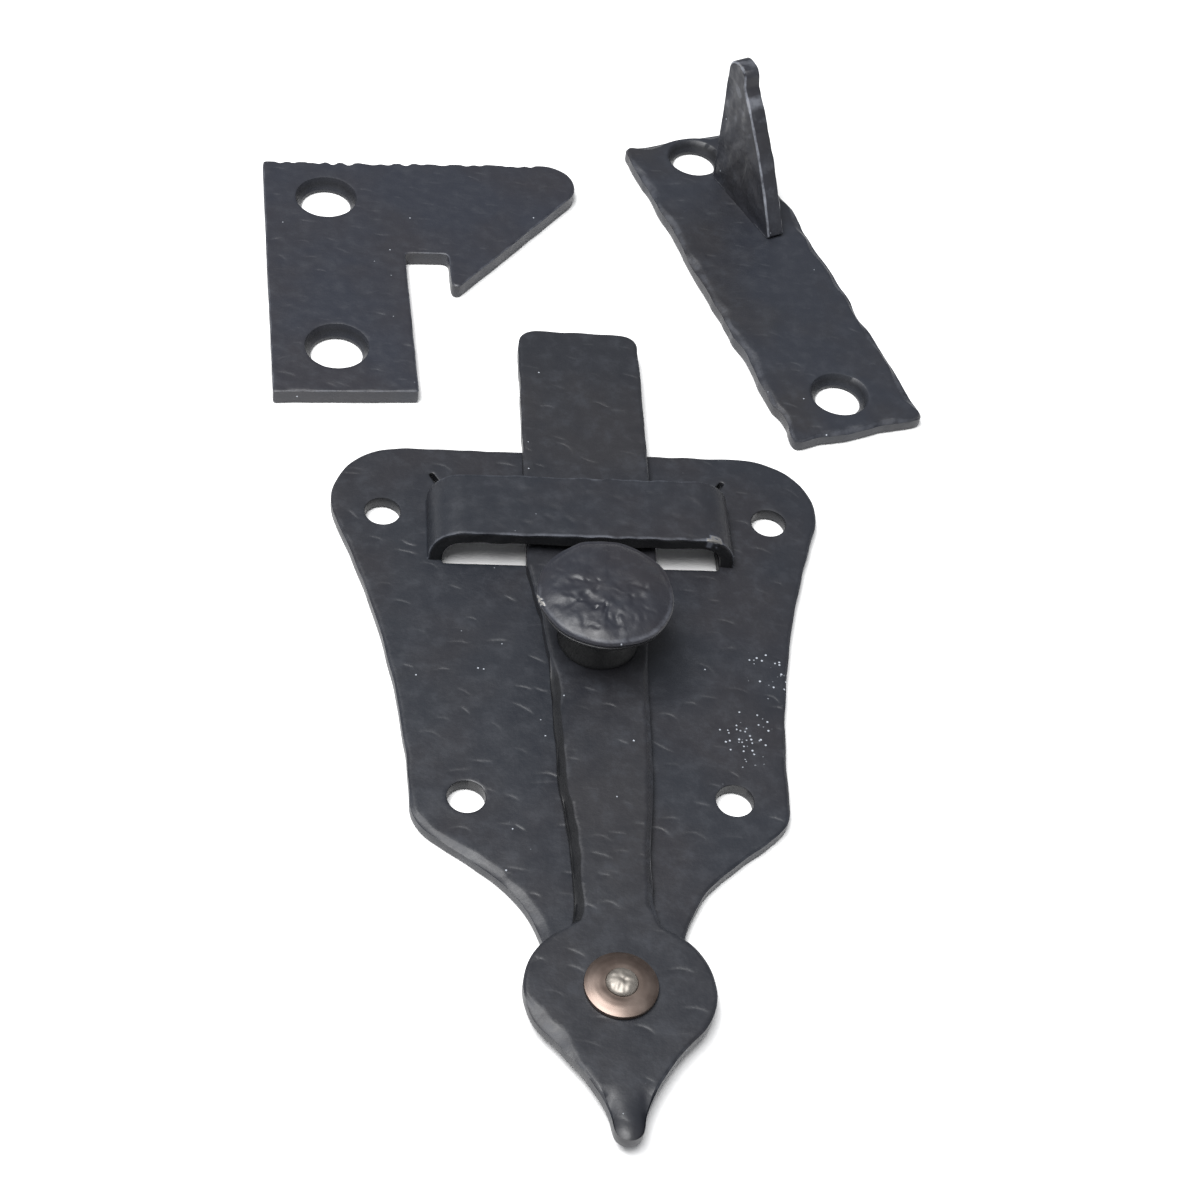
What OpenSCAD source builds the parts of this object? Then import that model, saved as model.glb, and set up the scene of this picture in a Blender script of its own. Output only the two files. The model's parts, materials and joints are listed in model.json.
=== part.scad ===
// Toggle bolt latch of hammered iron: a backplate with a strap, a swinging latch bar with a knob,
// and its two alternative catches, a flat hook and an upstanding fin, laid out beside it.
// The origin is on the back plane, midway between the two upper screw holes. +Z points out of the
// door and +Y runs along the bar towards its head.

/* [Sheet] */
// Thickness of the backplate and its strap
plate_t = 1.8; // [1.5:0.1:2.4]
// Thickness of the latch bar
bar_t = 1.8; // [1.5:0.1:3]
// Thickness of the hook catch
hook_t = 2.2; // [1.6:0.1:4]
// Thickness of the fin catch's base
base_t = 2; // [1.5:0.1:4]

/* [Backplate] */
// Greatest width of the backplate, across its shoulders
plate_w = 64.4; // [60:0.2:80]
// Height of the top edge above the upper screw holes
plate_top = 11.7; // [10:0.1:18]
// Radius of the shoulders
shoulder_r = 9.6; // [7:0.1:10]
// Width of the backplate at its waist
waist_w = 45.6; // [40:0.2:50]
// Drop from the upper screw holes to the waist's lower corners
waist_drop = 46; // [42:0.2:60]
// Radius of the waist's lower corners
corner_r = 6; // [3:0.1:8]
// Width of the neck that carries the pivot
neck_w = 15.4; // [12:0.2:17]
// Distance between the upper screw holes
upper_span = 51; // [46:0.2:52]
// Distance between the lower screw holes
lower_span = 32.2; // [26:0.2:34]
// Drop from the upper screw holes to the lower ones
screw_drop = 45.4; // [30:0.2:48]
// Diameter of the backplate's screw holes
screw_d = 4.6; // [3:0.1:6]

/* [Strap] */
// Width of the strap, along the bar
strap_w = 10.6; // [6:0.2:14]
// Distance between the strap's legs, which limits the bar's swing
strap_span = 36; // [28:0.2:38]
// Centre of the strap, below the upper screw holes
strap_drop = 3; // [1:0.1:8]
// Gap between the bar and the strap's underside
strap_gap = 1.4; // [0.6:0.1:3]
// Outer radius of the strap's bends
strap_bend_r = 3.6; // [2.6:0.1:4.4]

/* [Latch bar] */
// Distance from the pivot to the end of the bar's head
bar_reach = 106; // [86:0.5:128]
// Width of the bar's head
head_w = 16.8; // [13:0.1:20]
// Radius of the head's corners
head_r = 2.4; // [0:0.1:5]
// Distance from the pivot to the shoulders, where the head narrows
shoulder_y = 62; // [56:0.2:64]
// Width of the bar's shank below the shoulders
shank_w = 12.4; // [9:0.1:13]
// Width of the shank where it meets the finial
tail_w = 9; // [7:0.1:12]
// Distance from the upper screw holes down to the pivot
pivot_drop = 72.5; // [70:0.2:84]
// Radius of the finial's rounded sides
finial_r = 8.4; // [7.4:0.1:10]
// Width of the finial
finial_w = 21.8; // [19:0.2:24]
// Distance from the pivot to the finial's tip
finial_reach = 18.8; // [17:0.2:26]
// Width of the finial's tip
finial_tip_w = 3.2; // [2:0.1:5]
// Turn of the bar from the backplate's centre line, in degrees
bar_turn = -1; // [-6:0.5:6]

/* [Knob] */
// Diameter of the knob's face
knob_d = 17.2; // [12:0.2:22]
// Height of the knob above the bar
knob_h = 10; // [7:0.1:14]
// Distance from the pivot to the knob
knob_y = 50.2; // [46:0.2:54]
// Diameter of the knob's stem at its waist
stem_d = 7.4; // [5:0.1:10]
// Diameter of the knob's foot on the bar
foot_d = 10.2; // [7:0.1:12]
// Diameter of the tenon that is riveted through the bar
tenon_d = 5; // [3:0.1:6]

/* [Pivot] */
// Diameter of the pivot rivet
rivet_d = 3.6; // [3:0.1:5]
// Diameter of the rivet's countersunk head, in the back of the plate
rivet_head_d = 6.8; // [5.2:0.1:8]
// Diameter of the washer
washer_d = 8.4; // [7:0.1:12]
// Thickness of the washer
washer_t = 0.6; // [0.4:0.1:1.2]
// Height of the washer's dish
washer_dish = 0.4; // [0:0.1:0.8]
// Height of the rivet's formed end above the washer
boss_h = 0.8; // [0.4:0.1:1.5]

/* [Hook catch] */
// Width of the hook catch's leg
leg_w = 19.7; // [17:0.1:26]
// Length of the hook catch's leg
leg_h = 48.5; // [44:0.2:60]
// Reach of the hook from the leg's outer edge to its nose
hook_reach = 46.1; // [42:0.1:56]
// Width of the notch that takes the bar
notch_w = 6.2; // [4:0.1:8]
// Height of the notch's closed end above the leg's foot
notch_top = 28.3; // [24:0.1:31]
// Depth of the notch
notch_depth = 7; // [4:0.1:9]
// Distance between the hook catch's screw holes
hook_span = 31.5; // [24:0.1:34]
// Distance from the leg's foot to its first screw hole
hook_hole_y = 9; // [6:0.1:12]
// Diameter of the hook catch's screw holes
hook_screw_d = 7.2; // [4:0.1:8]
// Diameter of their countersinks
hook_sink_d = 9; // [8.2:0.1:11]

/* [Fin catch] */
// Width of the fin catch's base
base_w = 20; // [17:0.1:26]
// Length of the fin catch's base
base_h = 65; // [64:0.2:80]
// Distance between the base's screw holes
fin_span = 53; // [52:0.1:54]
// Distance from the base's foot to its first screw hole
fin_hole_y = 7.2; // [6:0.1:10]
// Diameter of the base's screw holes
fin_screw_d = 6.4; // [4:0.1:7]
// Diameter of their countersinks
fin_sink_d = 8.4; // [7.2:0.1:9.6]
// Height of the blade above the base
blade_h = 21.4; // [16:0.2:30]
// Length of the blade at its foot
blade_l = 16; // [14:0.1:16.2]
// Thickness of the blade
blade_t = 2.8; // [2:0.1:4]
// Length of the blade's tenon through the base
blade_tenon_l = 8; // [5:0.1:11]

/* [Hidden] */
$fn = 48;
iron = "#3d3f45";
bare_iron = "#8d867c";
slip = 0.1;            // gap between pieces that slide on each other
cut = 0.5;             // how far a cutting solid runs past a face
sink_land = 0.5;       // straight length of bore below a countersink
deburr = 0.25;         // chamfer round the backplate's screw holes
arc_n = 10;            // straight pieces in each arc of an outline

bar_z = plate_t + slip;
bar_top = bar_z + bar_t;
strap_z = bar_top + strap_gap;
strap_out = strap_span / 2 + plate_t;
washer_z = bar_top;
boss_z = washer_z + washer_t + washer_dish;
knob_bore_d = tenon_d + 0.1;
pivot_bore_d = rivet_d + 0.2;
side_a = 21;           // slope of the sides where the shoulders end
side_bow = 0.86;       // how much of the hollow sides' run in is curved, the rest being straight
shear_gap = [0.2, 0.4]; // clearance of the slot above and below the strap
neck_r = 18;           // radius of the hollow curve into the neck
corner_a = 52;         // turn of the waist's lower corners
finial_a = 50;         // slope at which the finial's rounded sides run into its point
finial_start = 72;     // turn from the finial's middle to where the shank meets it
finial_hollow = 1.85;  // power of the hollow curve into the finial's tip
tip_r = finial_tip_w / 2;
shoulder_run = [8, 14]; // where the slope below the shoulders eases, and where it ends
shoulder_ease = 0.7;   // what is left of the slope where it eases
shank_fall = 22;       // from the knob down to the end of the straight shank
tail_run = [20, 12];   // heights above the pivot between which the shank's taper ends
rivet_sink_h = plate_t * 0.6;   // depth of the seat of the rivet's head
foot_h = 0.8;          // height of the knob's foot
stem_run = [0.36, 0.62]; // heights of the stem's two ends, as shares of knob_h
knob_rim_r = 0.5;      // radius of the knob's edge
knob_rim_drop = 1.4;   // drop from the crown to the middle of the edge
knob_crown = 0.9;      // rise of the knob's face
barb_r = 0.8;          // radius of the hook's barb, and of the notch's inner corner
nose_r = 4.6;          // radius of the hook's nose
base_corner_r = 1.2;   // radius of the fin base's corners
hole_x = leg_w / 2 - 0.85;      // the hook catch's holes stand a little off its leg's centre
hook_place = [-40, 20.9, 3];    // corner of the hook catch in the layout, and its turn
fin_place = [31.1, 15.1, 17.2]; // corner of the fin catch's base in the layout, and its turn
blade_place = [13.3, 39.7, 8.8]; // front foot of the blade on its base, and its turn
blade_lean = 4;        // lean of the blade's back edge away from its slope
blade_top_r = 2.1;     // radius of the blade's top
blade_step = 0.8;      // undercut at the foot of the blade's sloping edge

// Points along an arc from angle a to angle b.
function arc(x, y, r, a, b) =
    [for (i = [0 : arc_n]) let (t = a + (b - a) * i / arc_n) [x + r * cos(t), y + r * sin(t)]];

function mirrored(points) =
    [for (i = [len(points) - 1 : -1 : 0]) [-points[i][0], points[i][1]]];

module symmetric(half) {
    polygon(concat(half, mirrored(half)));
}

// A straight bore with a countersink in the face at z = t.
module sunk_hole(bore_d, sink_d, t) {
    translate([0, 0, -cut]) cylinder(d = bore_d, h = t + 2 * cut);
    translate([0, 0, sink_land]) cylinder(d1 = bore_d, d2 = sink_d, h = t - sink_land);
    translate([0, 0, t - 0.001]) cylinder(d = sink_d, h = cut);
}

module plate_outline() {
    x0 = plate_w / 2 - shoulder_r;
    y0 = plate_top - shoulder_r;
    x1 = waist_w / 2 - corner_r;
    y1 = -waist_drop;
    neck_x = neck_w / 2;
    // The hollow side leaves the shoulder at side_a and ends upright at the waist's corner.
    side_x = plate_w / 2 - shoulder_r * (1 - cos(side_a));
    side_y = y0 - shoulder_r * sin(side_a);
    waist_x = waist_w / 2;
    run = side_y - y1;
    // A straight edge joins the lower corner's arc to the neck's, and is tangent to both.
    edge_x = x1 + corner_r * cos(corner_a) - neck_x - neck_r * (1 - cos(corner_a));
    neck_y = y1 - (corner_r + neck_r) * sin(corner_a) - edge_x / tan(corner_a);
    symmetric(concat(
        [[0, plate_top]],
        arc(x0, y0, shoulder_r, 90, -side_a),
        [for (i = [1 : arc_n]) let (t = i / arc_n)
            [side_x + (waist_x - side_x) * (1 - pow(1 - t, 2) * side_bow - (1 - t) * (1 - side_bow)), side_y - run * t]],
        arc(x1, y1, corner_r, 0, -corner_a),
        arc(neck_x + neck_r, neck_y, neck_r, 180 - corner_a, 180),
        arc(0, -pivot_drop, neck_x, 0, -90)
    ));
}

module strap() {
    // The strap is a flat band with two rounded bends; its legs stand on the plate.
    band_z = strap_z + plate_t;
    inner_r = strap_bend_r - plate_t;
    translate([0, -strap_drop + strap_w / 2, 0]) rotate([90, 0, 0]) linear_extrude(strap_w)
        symmetric(concat(
            [[0, strap_z]],
            arc(strap_span / 2 - inner_r, strap_z - inner_r, inner_r, 90, 0),
            [[strap_span / 2, plate_t / 2], [strap_out, plate_t / 2]],
            arc(strap_out - strap_bend_r, band_z - strap_bend_r, strap_bend_r, 0, 90),
            [[0, band_z]]
        ));
}

module backplate() color(iron) {
    difference() {
        linear_extrude(plate_t) plate_outline();
        translate([-strap_span / 2, -strap_drop - strap_w / 2 - shear_gap[1], -cut])
            cube([strap_span, strap_w + shear_gap[0] + shear_gap[1], plate_t + 2 * cut]);
        for (side = [-1, 1]) {
            translate([side * upper_span / 2, 0, 0]) plate_hole();
            translate([side * lower_span / 2, -screw_drop, 0]) plate_hole();
        }
        translate([0, -pivot_drop, -cut]) cylinder(d = pivot_bore_d, h = plate_t + 2 * cut);
        translate([0, -pivot_drop, 0]) rivet_sink();
    }
    strap();
}

module plate_hole() {
    translate([0, 0, -cut]) cylinder(d = screw_d, h = plate_t + 2 * cut);
    translate([0, 0, plate_t - deburr]) cylinder(d1 = screw_d, d2 = screw_d + 2 * deburr, h = deburr);
    translate([0, 0, plate_t - 0.001]) cylinder(d = screw_d + 2 * deburr, h = cut);
}

// The seat of the rivet's head in the back of the plate.
module rivet_sink() {
    translate([0, 0, -cut]) cylinder(d = rivet_head_d, h = cut + 0.001);
    cylinder(d1 = rivet_head_d, d2 = pivot_bore_d, h = rivet_sink_h);
}

module bar_outline() {
    half = head_w / 2;
    tip_y = -finial_reach + tip_r;
    round_x = finial_w / 2 - finial_r;
    point_x = round_x + finial_r * cos(finial_a);
    point_y = -finial_r * sin(finial_a);
    symmetric(concat(
        [[0, bar_reach]],
        arc(half - head_r, bar_reach - head_r, head_r, 90, 0),
        [[half, shoulder_y], [shank_w / 2 + shoulder_ease, shoulder_y - shoulder_run[0]],
         [shank_w / 2, shoulder_y - shoulder_run[1]], [shank_w / 2 - 0.5, knob_y - shank_fall],
         [tail_w / 2 + 0.3, tail_run[0]], [tail_w / 2, tail_run[1]]],
        arc(round_x, 0, finial_r, finial_start, -finial_a),
        [for (i = [1 : arc_n]) let (t = i / arc_n)
            [tip_r + (point_x - tip_r) * pow(1 - t, finial_hollow), point_y + (tip_y - point_y) * t]],
        arc(0, tip_y, tip_r, -20, -90)
    ));
}

module on_bar() {
    translate([0, -pivot_drop, 0]) rotate(bar_turn) children();
}

module latch_bar() color(iron) on_bar() difference() {
    translate([0, 0, bar_z]) linear_extrude(bar_t) bar_outline();
    translate([0, 0, bar_z - cut]) cylinder(d = pivot_bore_d, h = bar_t + 2 * cut);
    translate([0, knob_y, bar_z - cut]) cylinder(d = knob_bore_d, h = bar_t + 2 * cut);
}

module knob() color(iron) on_bar() translate([0, knob_y, bar_z]) rotate_extrude()
    polygon(concat(
        [[0, 0], [tenon_d / 2, 0], [tenon_d / 2, bar_t], [foot_d / 2, bar_t],
         [foot_d / 2 - 0.2, bar_t + foot_h], [stem_d / 2, bar_t + knob_h * stem_run[0]],
         [stem_d / 2 + 0.3, bar_t + knob_h * stem_run[1]],
         [knob_d / 2 - knob_rim_r - 0.1, bar_t + knob_h - knob_rim_drop - knob_rim_r]],
        arc(knob_d / 2 - knob_rim_r, bar_t + knob_h - knob_rim_drop, knob_rim_r, -60, 60),
        [for (i = [0 : arc_n]) let (t = i / arc_n)
            [(knob_d / 2 - knob_rim_r + 0.1) * (1 - t), bar_t + knob_h - knob_crown * pow(1 - t, 2)]]
    ));

module pivot_rivet() color(bare_iron) translate([0, -pivot_drop, 0]) rotate_extrude()
    polygon(concat(
        [[0, 0], [rivet_head_d / 2 - slip, 0], [rivet_d / 2, rivet_sink_h - slip]],
        [[rivet_d / 2, boss_z + boss_h * 0.4]],
        [for (i = [1 : arc_n]) let (t = i / arc_n)
            [rivet_d / 2 * cos(90 * t), boss_z + boss_h * (0.4 + 0.6 * sin(90 * t))]]
    ));

module dished_washer() color(bare_iron) translate([0, -pivot_drop, washer_z]) rotate_extrude()
    polygon([[rivet_d / 2 + 0.05, washer_dish], [washer_d / 2, 0], [washer_d / 2, washer_t],
             [rivet_d / 2 + 0.05, washer_t + washer_dish]]);

module hook_outline() {
    barb_x = leg_w + notch_w + barb_r;
    barb_y = notch_top - notch_depth + barb_r;
    nose_x = hook_reach - nose_r;
    nose_y = leg_h - nose_r;
    run = [nose_x - barb_x, nose_y - barb_y];
    // The cam edge is the straight line that touches both the barb's and the nose's arcs.
    cam_a = atan2(run[1], run[0]) - asin((nose_r - barb_r) / norm(run));
    polygon(concat(
        [[0, 0], [leg_w, 0], [leg_w, notch_top]],
        arc(barb_x - 2 * barb_r, notch_top - barb_r, barb_r, 90, 0),
        arc(barb_x, barb_y, barb_r, 180, 270 + cam_a),
        arc(nose_x, nose_y, nose_r, cam_a - 90, 90),
        [[0, leg_h]]
    ));
}

module hook_catch() color(iron) translate([hook_place[0], hook_place[1], 0]) rotate(hook_place[2])
    difference() {
        linear_extrude(hook_t) hook_outline();
        for (y = [hook_hole_y, hook_hole_y + hook_span])
            translate([hole_x, y, 0]) sunk_hole(hook_screw_d, hook_sink_d, hook_t);
    }

module on_base() {
    translate([fin_place[0], fin_place[1], 0]) rotate(fin_place[2]) children();
}

module at_blade() {
    translate([blade_place[0], blade_place[1], 0]) rotate(blade_place[2]) children();
}

module fin_base() color(iron) on_base() difference() {
    linear_extrude(base_t) base_outline();
    for (y = [fin_hole_y, fin_hole_y + fin_span])
        translate([base_w / 2, y, 0]) sunk_hole(fin_screw_d, fin_sink_d, base_t);
    at_blade() translate([0, (blade_l - blade_tenon_l) / 2, -cut])
        cube([blade_t, blade_tenon_l, base_t + 2 * cut]);
}

module base_outline() {
    r = base_corner_r;
    polygon(concat(arc(base_w - r, base_h - r, r, 90, 0), arc(base_w - r, r, r, 0, -90),
                   arc(r, r, r, -90, -180), arc(r, base_h - r, r, 180, 90)));
}

// The blade seen from its side: y runs along its foot, from the slope to the back edge.
module blade_profile() {
    back_y = blade_l + blade_h * tan(blade_lean);
    top_y = back_y - blade_top_r - 0.3;
    rise = blade_h - blade_top_r;
    polygon(concat(
        [[blade_step, 0], [0, blade_step]],
        [for (i = [1 : arc_n - 1]) let (t = i / arc_n)
            [(top_y - blade_top_r * 0.8) * (t - 0.1 * t * (1 - t)), blade_step + (rise - blade_step) * t]],
        arc(top_y, rise, blade_top_r, 150, 0),
        [[blade_l, 0]],
        [[(blade_l + blade_tenon_l) / 2, 0], [(blade_l + blade_tenon_l) / 2, -base_t],
         [(blade_l - blade_tenon_l) / 2, -base_t], [(blade_l - blade_tenon_l) / 2, 0]]
    ));
}

module fin_blade() color(iron) on_base() at_blade()
    translate([0, 0, base_t]) rotate([90, 0, 90]) linear_extrude(blade_t) blade_profile();

backplate();
latch_bar();
knob();
pivot_rivet();
dished_washer();
hook_catch();
fin_base();
fin_blade();
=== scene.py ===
"""A forged iron toggle bolt latch and its two loose catches, laid out on a pale table."""

import json
import math

import bpy
import numpy as np
from mathutils import Matrix, Vector
from mathutils.geometry import delaunay_2d_cdt


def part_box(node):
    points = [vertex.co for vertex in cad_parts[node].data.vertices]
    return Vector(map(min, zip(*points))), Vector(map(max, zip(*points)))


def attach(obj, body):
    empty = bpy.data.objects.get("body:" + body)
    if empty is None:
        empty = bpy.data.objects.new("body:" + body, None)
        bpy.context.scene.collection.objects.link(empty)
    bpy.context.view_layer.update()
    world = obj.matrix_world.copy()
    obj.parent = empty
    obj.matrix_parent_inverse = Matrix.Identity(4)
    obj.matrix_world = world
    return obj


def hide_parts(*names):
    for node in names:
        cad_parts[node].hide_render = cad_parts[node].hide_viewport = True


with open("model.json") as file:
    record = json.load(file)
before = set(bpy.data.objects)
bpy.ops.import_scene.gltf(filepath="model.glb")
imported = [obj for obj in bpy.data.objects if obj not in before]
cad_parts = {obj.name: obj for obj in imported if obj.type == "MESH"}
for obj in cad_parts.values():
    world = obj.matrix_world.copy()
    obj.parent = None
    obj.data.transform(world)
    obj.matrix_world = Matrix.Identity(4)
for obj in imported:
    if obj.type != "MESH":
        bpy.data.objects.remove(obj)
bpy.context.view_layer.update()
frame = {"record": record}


# ---- Backplate ----------------------------------------------------------------------------
# The plate is 1.8 mm steel sheet, cut to a shield shape and hammered all over when cold, then
# coated satin black. Its strap was slit out of the middle and raised to hold the latch bar.
# Wood screws through its four holes fix it to the door.

MM = 0.001


def box_of(node):
    """The low and high corners of a node's box, in mm."""
    return np.array([list(v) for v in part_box(node)]) / MM


bar_low, bar_high = box_of("latch_bar")
mounts = {mount["name"]: mount for mount in frame["record"]["mounts"]}

plate_t = 1.8
plate_w = 64.4
plate_top = 11.7
shoulder_r = 9.6
side_slope = 21
side_bow = 0.86
waist_w = 45.6
waist_drop = 46
corner_r = 6
corner_turn = 52
neck_w = 15.4
neck_r = 18
pivot_y = -72.5
rivet_hole_r = 1.9
screw_r = mounts["upper_screws"]["dims"]["hole_r_mm"]
strap_low, strap_up = -8.3, 2.3
slot_low, slot_up = -8.7, 2.5
strap_half = 18
fine = 0.34  # spacing of the points on a face that shows, in mm
coarse = 1.3  # and on a flat back


def arc(x, y, r, a, b, n=25):
    """Points at radius r about (x, y), at n even angles from a to b in degrees."""
    t = np.radians(np.linspace(a, b, n))
    return np.stack([x + r * np.cos(t), y + r * np.sin(t)], 1)


def both_sides(half):
    """Half an outline on the right of x = 0, followed by its mirror image walked back."""
    return np.concatenate([half, half[::-1] * [-1, 1]])


def shield():
    """The plate's outline: round shoulders, hollow sides, round corners and a hollow neck."""
    x0, y0 = plate_w / 2 - shoulder_r, plate_top - shoulder_r
    x1, y1 = waist_w / 2 - corner_r, -waist_drop
    turn = math.radians(corner_turn)
    slope = math.radians(side_slope)
    side = np.array([plate_w / 2 - shoulder_r * (1 - math.cos(slope)), y0 - shoulder_r * math.sin(slope)])
    t = np.linspace(0, 1, 40)[1:-1]
    run_in = 1 - (1 - t) ** 2 * side_bow - (1 - t) * (1 - side_bow)
    hollow = np.stack([side[0] + (waist_w / 2 - side[0]) * run_in, side[1] + (y1 - side[1]) * t], 1)
    edge_x = x1 + corner_r * math.cos(turn) - neck_w / 2 - neck_r * (1 - math.cos(turn))
    neck_y = y1 - (corner_r + neck_r) * math.sin(turn) - edge_x / math.tan(turn)
    return both_sides(np.concatenate([
        [[0, plate_top]],
        arc(x0, y0, shoulder_r, 90, -side_slope),
        hollow,
        arc(x1, y1, corner_r, 0, -corner_turn),
        arc(neck_w / 2 + neck_r, neck_y, neck_r, 180 - corner_turn, 180),
        arc(0, pivot_y, neck_w / 2, 0, -90),
    ]))


def walked(loop, step=fine, soft=0.4, hole=False):
    """The loop with points a step apart, anticlockwise, or clockwise for a hole.

    Its corners are softened by a Gaussian filter of width soft along its length.
    """
    loop = np.asarray(loop, float)
    x, y = loop.T
    if (np.sum(x * np.roll(y, -1) - np.roll(x, -1) * y) < 0) != hole:
        loop = loop[::-1]
    ring = np.concatenate([loop, loop[:1]])
    along = np.concatenate([[0], np.cumsum(np.hypot(*np.diff(ring, axis=0).T))])
    s = np.linspace(0, along[-1], max(24, int(along[-1] / step)), endpoint=False)
    z = np.interp(s, along, ring[:, 0]) + 1j * np.interp(s, along, ring[:, 1])
    k = 2 * np.pi * np.fft.fftfreq(len(z), along[-1] / len(z))
    z = np.fft.ifft(np.fft.fft(z) * np.exp(-((k * soft) ** 2) / 2))
    return np.stack([z.real, z.imag], 1)


def outward(loop):
    """Unit normals of a walked loop, pointing out of the metal: the tangent turned clockwise."""
    tangent = np.roll(loop, -1, 0) - np.roll(loop, 1, 0)
    normal = np.stack([tangent[:, 1], -tangent[:, 0]], 1)
    return normal / np.linalg.norm(normal, axis=1, keepdims=True)


def swell(p, size, seed, waves=36):
    """A smooth random field between about -1 and 1: a sum of plane waves of about the given length."""
    rng = np.random.default_rng(seed)
    way = rng.uniform(0, 2 * np.pi, waves)
    k = 2 * np.pi / size * rng.uniform(0.6, 1.5, waves)
    phase = rng.uniform(0, 2 * np.pi, waves)
    p = np.asarray(p)[:, :2]
    return np.sin(p @ np.stack([k * np.cos(way), k * np.sin(way)]) + phase).sum(1) / math.sqrt(waves)


def scattered(low, high, gap, seed):
    """Points about a gap apart over a rectangle, each pushed at random off its place in a grid."""
    rng = np.random.default_rng(seed)
    x, y = np.meshgrid(np.arange(low[0], high[0], gap), np.arange(low[1], high[1], gap))
    p = np.stack([x.ravel(), y.ravel()], 1)
    return p + rng.uniform(-0.5, 0.5, p.shape) * gap


def struck(low, high, gap, seed, depth, length, tilt=-14):
    """Hammer marks over a rectangle, one a row: x, y, angle, half length, depth and bow."""
    at = scattered(low, high, gap, seed)
    rng = np.random.default_rng(seed + 1)
    n = len(at)
    return np.column_stack([
        at, np.radians(rng.normal(tilt, 16, n)), length * rng.uniform(0.55, 1.3, n),
        depth * rng.uniform(0.2, 1.3, n), rng.normal(0.14, 0.12, n),
    ])


def hammer_marks(p, marks):
    """Depth of the crescents that the edge of a hammer's face leaves.

    Below a short bowed line the metal drops steeply, and then rises again over half a millimetre:
    deep * exp(min(v, 0) / ease) / (1 + exp(v / steep)) * exp(-((u / half) ** 4)), where u runs along
    the line and v is the height above it.
    """
    steep, ease = 0.045, 0.55
    x, y, a, half, deep, bow = marks.T
    total = np.zeros(len(p))
    for part in np.array_split(np.arange(len(p)), max(1, len(p) // 6000)):
        dx = p[part, None, 0] - x
        dy = p[part, None, 1] - y
        u = dx * np.cos(a) + dy * np.sin(a)
        v = dy * np.cos(a) - dx * np.sin(a) + bow * u * u
        lip = 1 / (1 + np.exp(np.clip(v / steep, -40, 40)))
        total[part] = (deep * lip * np.exp(np.minimum(v, 0) / ease) * np.exp(-((u / half) ** 4))).sum(1)
    return total


def lips(marks):
    """Close rows of points along both sides of each mark's steep lip, so that the mesh can hold it."""
    u = marks[:, None, 3:4] * np.linspace(-1, 1, 13)[:, None]
    v = np.array([0.11, 0.0, -0.11]) - marks[:, None, 5:6] * u * u
    c, s = np.cos(marks[:, None, 2:3]), np.sin(marks[:, None, 2:3])
    x = marks[:, None, 0:1] + u * c - v * s
    y = marks[:, None, 1:2] + u * s + v * c
    return np.stack([x, y], -1).reshape(-1, 2)


def hollows(p, at, size, deep):
    """Depth of shallow round hollows: a Gaussian of each one's size and depth about its place."""
    d = (p[:, None, 0] - at[:, 0]) ** 2 + (p[:, None, 1] - at[:, 1]) ** 2
    return (deep * np.exp(-d / size**2)).sum(1)


def filled(rings, step, extra=None):
    """Points and triangles that fill the space inside the first ring and outside the others.

    The points between lie in staggered rows a step apart, and Delaunay's rule joins them. Triangles
    with no point inside are kept only if their middle is on the metal's side of the nearest edge.
    """
    edge = np.concatenate(rings)
    normal = np.concatenate([outward(ring) for ring in rings])

    def depth_in(p):
        signed = []
        for part in np.array_split(p, max(1, len(p) // 6000)):
            near = ((part**2).sum(1)[:, None] + (edge**2).sum(1) - 2 * part @ edge.T).argmin(1)
            way = part - edge[near]
            signed.append(-np.sign((way * normal[near]).sum(1)) * np.hypot(*way.T))
        return np.concatenate(signed)

    low, high = edge.min(0), edge.max(0)
    x, y = np.meshgrid(np.arange(low[0], high[0], step), np.arange(low[1], high[1], step * 0.866))
    x = x + step / 2 * (np.arange(len(x)) % 2)[:, None]
    p = np.stack([x.ravel(), y.ravel()], 1)
    if extra is not None:
        p = np.concatenate([p, extra])
    p = p[depth_in(p) > 0.6 * min(step, 0.6)]
    flat = np.concatenate([edge, p])
    ends = np.cumsum([len(ring) for ring in rings])
    starts = ends - [len(ring) for ring in rings]
    pairs = np.concatenate([
        np.stack([np.arange(a, b), np.roll(np.arange(a, b), -1)], 1) for a, b in zip(starts, ends)
    ])
    out = delaunay_2d_cdt([Vector(q) for q in flat], pairs.tolist(), [], 0, 1e-7, False)
    tri = np.array(out[2])
    if len(out[0]) != len(flat):
        raise ValueError("an edge of the outline crosses itself")
    all_edge = (tri < len(edge)).all(1)
    keep = np.ones(len(tri), bool)
    keep[all_edge] = depth_in(flat[tri[all_edge]].mean(1)) > 0
    return flat, tri[keep]


def room_to_turn(loop, widest):
    """The share of a rim's widest inset that every outward bend has room for, from its radius.

    The share is spread over the loop near a bend, so that the rim narrows gently on both sides of it.
    """
    of_radius, near = 0.7, 1.6
    normal = outward(loop)
    gap = np.linalg.norm(np.roll(loop, -1, 0) - loop, axis=1)
    onward = np.roll(normal, -1, 0)
    bend = (normal[:, 0] * onward[:, 1] - normal[:, 1] * onward[:, 0]) / gap
    room = of_radius / np.maximum(bend, 0.05)
    reach = int(near / gap.mean())
    room = np.min([np.roll(room, k) for k in range(-reach, reach + 1)], axis=0)
    room = np.mean([np.roll(room, k) for k in range(-reach, reach + 1)], axis=0)
    return np.minimum(1, room / np.maximum(widest, 0.01))


def flat_back(p):
    """Height of a plain back face."""
    return 0 * p[:, 0]


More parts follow.
